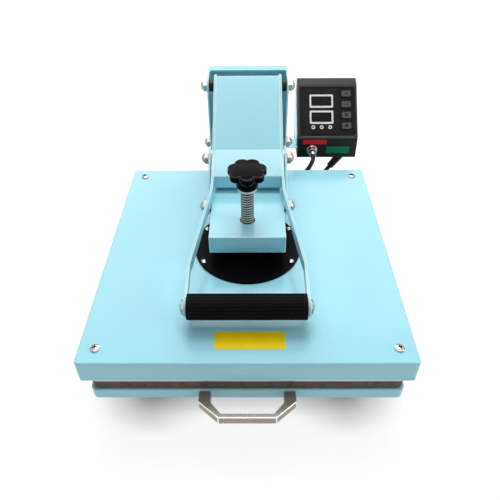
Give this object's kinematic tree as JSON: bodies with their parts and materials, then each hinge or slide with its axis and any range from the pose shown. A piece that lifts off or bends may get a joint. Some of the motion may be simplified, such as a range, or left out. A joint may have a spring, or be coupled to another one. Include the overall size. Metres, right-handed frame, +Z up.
{
  "type": "slide-out heat press",
  "caption": "Clamshell heat press with a square heated upper platen, padded tray on telescopic slides, toggle linkage under a hooded handle, pressure screw and tilted control box.",
  "frame": {"origin": "middle of the footprint's bounding box, on the table (without the mains lead)", "axes": "X to the operator's right, Y away from the operator, Z up"},
  "size_m": [0.4, 0.6331, 0.322],
  "materials": {
    "paint": "gloss powder coat",
    "dark_plastic": "satin",
    "gloss_black": "gloss",
    "display": "dark window",
    "lens": "clear lens",
    "key": "matt",
    "rubber": "matt",
    "silicone": "matt sponge",
    "wool": "felted wool",
    "alloy": "cast and ground",
    "steel": "brushed",
    "plated": "bright plate",
    "nickel": "brushed nickel"
  },
  "bodies": {
    "base": {"base_rail_left": "paint", "base_rail_right": "paint", "base_cross_front": "paint", "base_cross_rear": "paint", "feet": "rubber", "mast": "paint", "mast_bolts": "plated", "mast_pins": "plated", "mast_nuts": "plated", "mast_spacers": "dark_plastic", "rails_outer": "steel", "control_bracket": "paint", "bracket_screws": "plated", "control_case": "dark_plastic", "control_panel": "dark_plastic", "displays": "display", "indicators": "lens", "connector": "plated", "cable_grommet": "rubber", "heater_cable": "rubber", "lead_relief": "rubber", "lead": "rubber", "lead_coil": "rubber", "lead_tail": "rubber", "plug": "dark_plastic"},
    "tray": {"tray_shell": "paint", "tray_base": "steel", "tray_brackets": "steel", "rails_inner": "steel", "pad": "silicone", "pull_handle": "nickel", "pull_screws": "plated"},
    "slide_middle": {"rails_middle": "steel"},
    "arm": {"arm_channel": "paint", "arm_box": "paint", "pressure_nut": "steel", "low_pin": "plated", "low_pin_nuts": "plated"},
    "link": {"links": "paint"},
    "handle": {"handle_sides": "paint", "handle_hood": "paint", "grip": "dark_plastic", "grip_rod": "plated", "grip_nuts": "plated", "knee_pin": "plated", "knee_nuts": "plated"},
    "platen": {"cover": "paint", "cover_screws": "plated", "standoffs": "steel", "insulation": "wool", "heat_plate": "alloy", "disc": "gloss_black", "disc_screws": "plated", "hub": "gloss_black"},
    "spindle": {"pressure_screw": "plated", "knob": "dark_plastic"},
    "key_up": {"button_up": "key"},
    "key_down": {"button_down": "key"},
    "key_set": {"button_set": "key"},
    "key_start": {"button_start": "key"}
  },
  "joints": [
    {"name": "tray_slide", "type": "slide", "parent": "base", "child": "tray", "axis": [0, -1, 0], "range_m": [0, 0.28]},
    {"name": "slide_middle_run", "type": "slide", "parent": "base", "child": "slide_middle", "axis": [0, -1, 0], "range_m": [0, 0.14]},
    {"name": "arm_hinge", "type": "hinge", "parent": "base", "child": "arm", "pos_m": [0, 0.175, 0.197], "axis": [-1, 0, 0], "range_deg": [0, 12]},
    {"name": "handle_hinge", "type": "hinge", "parent": "base", "child": "handle", "pos_m": [0, 0.175, 0.302], "axis": [-1, 0, 0], "range_deg": [0, 29.5]},
    {"name": "link_hinge", "type": "hinge", "parent": "arm", "child": "link", "pos_m": [0, -0.01, 0.197], "axis": [1, 0, 0], "range_deg": [0, 36.3]},
    {"name": "pressure_slide", "type": "slide", "parent": "arm", "child": "platen", "axis": [0, 0, 1], "range_m": [0, 0.008]},
    {"name": "screw_turn", "type": "hinge", "parent": "platen", "child": "spindle", "pos_m": [0, -0.054, 0.23], "axis": [0, 0, 1], "range_deg": [0, 721]},
    {"name": "key_up_press", "type": "slide", "parent": "base", "child": "key_up", "axis": [0, 0.7193, -0.6947], "range_m": [0, 0.0012], "stiffness_N_per_m": 800, "springref_m": -0.001},
    {"name": "key_down_press", "type": "slide", "parent": "base", "child": "key_down", "axis": [0, 0.7193, -0.6947], "range_m": [0, 0.0012], "stiffness_N_per_m": 800, "springref_m": -0.001},
    {"name": "key_set_press", "type": "slide", "parent": "base", "child": "key_set", "axis": [0, 0.7193, -0.6947], "range_m": [0, 0.0012], "stiffness_N_per_m": 800, "springref_m": -0.001},
    {"name": "key_start_press", "type": "slide", "parent": "base", "child": "key_start", "axis": [0, 0.7193, -0.6947], "range_m": [0, 0.0012], "stiffness_N_per_m": 800, "springref_m": -0.001}
  ],
  "couplings": [
    {"joint": "slide_middle_run", "follows": "tray_slide", "ratio": 0.5},
    {"joint": "handle_hinge", "follows": "arm_hinge", "ratio": 2.4542},
    {"joint": "link_hinge", "follows": "arm_hinge", "ratio": 3.0175},
    {"joint": "screw_turn", "follows": "pressure_slide", "rad_per_m": 1570.8}
  ]
}
